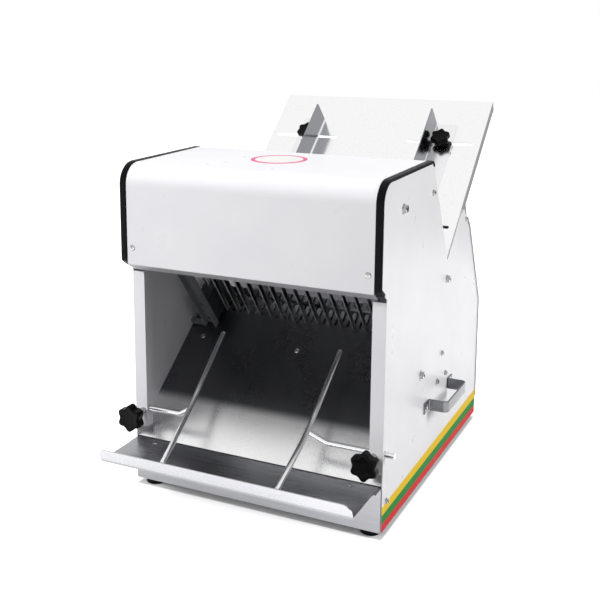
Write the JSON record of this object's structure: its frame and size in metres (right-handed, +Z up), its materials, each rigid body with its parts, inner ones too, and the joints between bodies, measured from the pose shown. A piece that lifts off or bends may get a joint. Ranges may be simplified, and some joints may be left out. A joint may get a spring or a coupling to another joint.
{
  "type": "bread slicer",
  "caption": "Table-top bread slicer: steep feed board, two reciprocating blade frames under a hood, polished sloping chute and a lipped shelf, with sliding loaf and slice guides",
  "frame": {"origin": "middle of the footprint on the plane the rubber feet stand on", "axes": "+Z up, -Y is the side where the slices come out, +X is right when facing that side"},
  "size_m": [0.546, 0.7614, 0.671],
  "materials": {
    "white_paint": "smooth semi-gloss white powder coat on folded sheet",
    "grey_paint": "satin grey powder coat",
    "polished_steel": "polished stainless sheet that mirrors what stands on it",
    "brushed_steel": "satin stainless sheet with fine long grain",
    "chrome_rod": "bright plated round bar",
    "blade_steel": "thin ground saw steel",
    "machined_steel": "machined plain steel, lightly oiled",
    "fastener_steel": "zinc plated screws and bosses",
    "cast_iron": "turned grey cast iron",
    "black_plastic": "moulded black plastic with a soft sheen",
    "slide_plastic": "ivory bearing plastic",
    "black_rubber": "black extruded rubber",
    "green_plastic": "glossy green push button",
    "red_plastic": "glossy red push button"
  },
  "bodies": {
    "machine": {"base_pan": "grey_paint", "bearing_housings": "cast_iron", "bearings": "machined_steel", "cable_gland": "black_plastic", "chute": "polished_steel", "chute_tie": "grey_paint", "drive_belt": "black_rubber", "edge_trim_left": "black_rubber", "edge_trim_right": "black_rubber", "feed_board": "polished_steel", "feet": "black_rubber", "foot_screws": "fastener_steel", "front_panel": "brushed_steel", "guide_channels": "grey_paint", "handles": "brushed_steel", "hood": "white_paint", "motor_bed": "grey_paint", "motor_body": "grey_paint", "motor_caps": "grey_paint", "outfeed_clamps": "fastener_steel", "pan_head_screws": "fastener_steel", "panel_screws": "fastener_steel", "rear_cover": "brushed_steel", "shelf": "polished_steel", "side_panel_left": "white_paint", "side_panel_right": "white_paint", "slide_blocks": "slide_plastic", "switch_box": "black_plastic", "tie_bolts": "fastener_steel", "tie_rods": "machined_steel"},
    "crankshaft": {"crank_middle": "machined_steel", "crank_ends": "machined_steel", "crank_pulley": "cast_iron"},
    "motor_rotor": {"motor_shaft": "machined_steel", "motor_pulley": "cast_iron"},
    "blade_frame_a": {"frame_a_lower_bar": "machined_steel", "frame_a_upper_bar": "machined_steel", "frame_a_rods": "chrome_rod", "blades_a": "blade_steel", "wrist_bracket_a": "machined_steel"},
    "blade_frame_b": {"frame_b_lower_bar": "machined_steel", "frame_b_upper_bar": "machined_steel", "frame_b_rods": "chrome_rod", "blades_b": "blade_steel", "wrist_bracket_b": "machined_steel"},
    "rod_a": {"connecting_rod_a": "machined_steel"},
    "rod_b": {"connecting_rod_b": "machined_steel"},
    "left_infeed": {"infeed_guide_left": "brushed_steel", "infeed_clamp_left": "brushed_steel"},
    "right_infeed": {"infeed_guide_right": "brushed_steel", "infeed_clamp_right": "brushed_steel"},
    "left_infeed_knob": {"infeed_knob_left": "black_plastic"},
    "right_infeed_knob": {"infeed_knob_right": "black_plastic"},
    "left_outfeed": {"outfeed_guide_left": "chrome_rod"},
    "right_outfeed": {"outfeed_guide_right": "chrome_rod"},
    "left_outfeed_knob": {"outfeed_knob_left": "black_plastic"},
    "right_outfeed_knob": {"outfeed_knob_right": "black_plastic"},
    "tray": {"crumb_tray": "brushed_steel"},
    "start": {"start_button": "green_plastic"},
    "stop": {"stop_button": "red_plastic"}
  },
  "joints": [
    {"name": "crank_turn", "type": "hinge", "parent": "machine", "child": "crankshaft", "pos_m": [0, 0.05543, 0.19203], "axis": [1, 0, 0], "continuous": true},
    {"name": "motor_turn", "type": "hinge", "parent": "machine", "child": "motor_rotor", "pos_m": [0, -0.10384, 0.122], "axis": [1, 0, 0], "continuous": true},
    {"name": "blade_frame_a_stroke", "type": "slide", "parent": "machine", "child": "blade_frame_a", "axis": [0, -0.6252, 0.7804], "range_m": [-0.03, 0]},
    {"name": "blade_frame_b_stroke", "type": "slide", "parent": "machine", "child": "blade_frame_b", "axis": [0, -0.6252, 0.7804], "range_m": [0, 0.03]},
    {"name": "rod_a_swing", "type": "hinge", "parent": "blade_frame_a", "child": "rod_a", "pos_m": [-0.028, 0.00565, 0.24057], "axis": [1, 0, 0], "range_deg": [-15.8, 14.6]},
    {"name": "rod_b_swing", "type": "hinge", "parent": "blade_frame_b", "child": "rod_b", "pos_m": [0.028, 0.03767, 0.22778], "axis": [1, 0, 0], "range_deg": [-14.6, 15.8]},
    {"name": "left_infeed_slide", "type": "slide", "parent": "machine", "child": "left_infeed", "axis": [1, 0, 0], "range_m": [-0.06, 0.062]},
    {"name": "right_infeed_slide", "type": "slide", "parent": "machine", "child": "right_infeed", "axis": [1, 0, 0], "range_m": [-0.07, 0.055]},
    {"name": "left_infeed_knob_turn", "type": "hinge", "parent": "left_infeed", "child": "left_infeed_knob", "pos_m": [-0.145, 0.28133, 0.59157], "axis": [0, -0.6665, 0.7455], "continuous": true},
    {"name": "right_infeed_knob_turn", "type": "hinge", "parent": "right_infeed", "child": "right_infeed_knob", "pos_m": [0.153, 0.28133, 0.59157], "axis": [0, -0.6665, 0.7455], "continuous": true},
    {"name": "left_outfeed_slide", "type": "slide", "parent": "machine", "child": "left_outfeed", "axis": [1, 0, 0], "range_m": [-0.045, 0.004]},
    {"name": "right_outfeed_slide", "type": "slide", "parent": "machine", "child": "right_outfeed", "axis": [1, 0, 0], "range_m": [-0.026, 0.07]},
    {"name": "left_outfeed_knob_turn", "type": "hinge", "parent": "machine", "child": "left_outfeed_knob", "pos_m": [-0.2192, -0.27014, 0.1418], "axis": [0, -1, 0], "continuous": true},
    {"name": "right_outfeed_knob_turn", "type": "hinge", "parent": "machine", "child": "right_outfeed_knob", "pos_m": [0.2192, -0.27014, 0.1418], "axis": [0, -1, 0], "continuous": true},
    {"name": "tray_slide", "type": "slide", "parent": "machine", "child": "tray", "axis": [0, 1, 0], "range_m": [0, 0.35]},
    {"name": "start_press", "type": "slide", "parent": "machine", "child": "start", "axis": [1, 0, 0], "range_m": [0, 0.0022], "stiffness_N_per_m": 400, "springref_m": -0.002},
    {"name": "stop_press", "type": "slide", "parent": "machine", "child": "stop", "axis": [1, 0, 0], "range_m": [0, 0.0022], "stiffness_N_per_m": 400, "springref_m": -0.002}
  ],
  "couplings": [
    {"joint": "motor_turn", "follows": "crank_turn", "ratio": 3.2692},
    {"joint": "blade_frame_b_stroke", "follows": "blade_frame_a_stroke", "ratio": -1}
  ]
}
